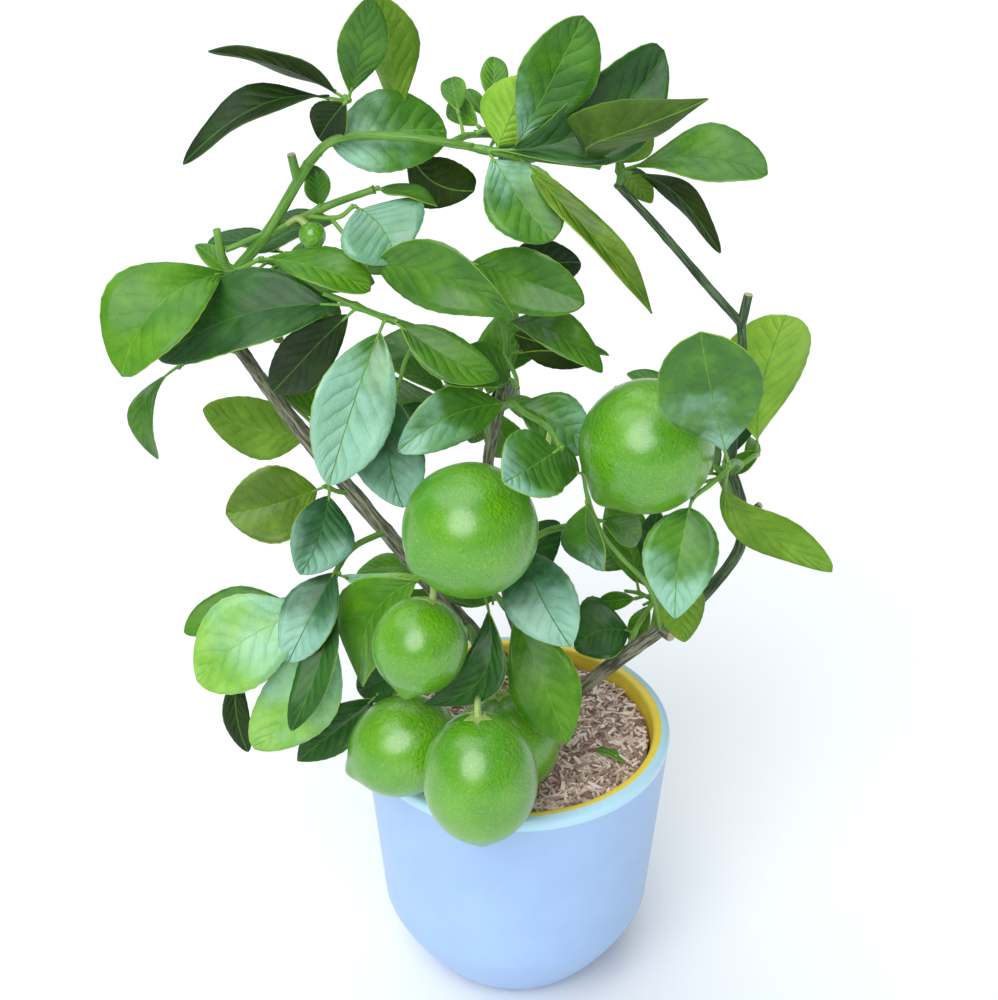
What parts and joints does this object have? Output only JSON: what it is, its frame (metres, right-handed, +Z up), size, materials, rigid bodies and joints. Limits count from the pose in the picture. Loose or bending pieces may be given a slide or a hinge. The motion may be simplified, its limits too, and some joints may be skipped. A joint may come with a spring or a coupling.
{
  "type": "potted lemon tree",
  "caption": "Small potted lemon tree: slender boughs trained into an open arch above a round glazed pot, with glossy leaves and large green fruit.",
  "frame": {"origin": "middle of the pot's flat foot, where it stands", "axes": "+Z up along the pot's axis, +X to the right in the front view, +Y to the back"},
  "size_m": [0.4056, 0.2626, 0.654],
  "materials": {
    "glaze": "satin pale blue glaze with a glossy lip",
    "soil": "loose shredded bark",
    "bark": "ridged grey-brown bark",
    "green_stem": "smooth green bark with pale stripes",
    "leaves": "glossy above, matt and paler below",
    "fruit": "pebbled green peel with an oily gloss"
  },
  "bodies": {
    "root": {"pot": "glaze", "soil": "soil", "trunk": "bark", "bough_arch": "green_stem", "bough_left_high": "green_stem", "bough_left_low": "bark", "bough_middle": "bark", "bough_right_high": "green_stem", "bough_right_low": "bark", "bough_right_middle": "green_stem", "bough_right_top": "green_stem", "foliage_arch_left": "leaves", "foliage_back_left": "leaves", "foliage_back_low": "leaves", "foliage_back_low_right": "leaves", "foliage_back_middle": "leaves", "foliage_back_right": "leaves", "foliage_back_top": "leaves", "foliage_left": "leaves", "foliage_left_bend": "leaves", "foliage_left_low": "leaves", "foliage_left_middle": "leaves", "foliage_low_front": "leaves", "foliage_middle": "leaves", "foliage_middle_left": "leaves", "foliage_middle_low": "leaves", "foliage_middle_right": "leaves", "foliage_middle_top": "leaves", "foliage_right": "leaves", "foliage_right_low": "leaves", "foliage_top_left": "leaves", "foliage_top_middle": "leaves", "foliage_top_right": "leaves", "fruit_right": "fruit", "fruit_trio": "fruit"}
  },
  "joints": []
}
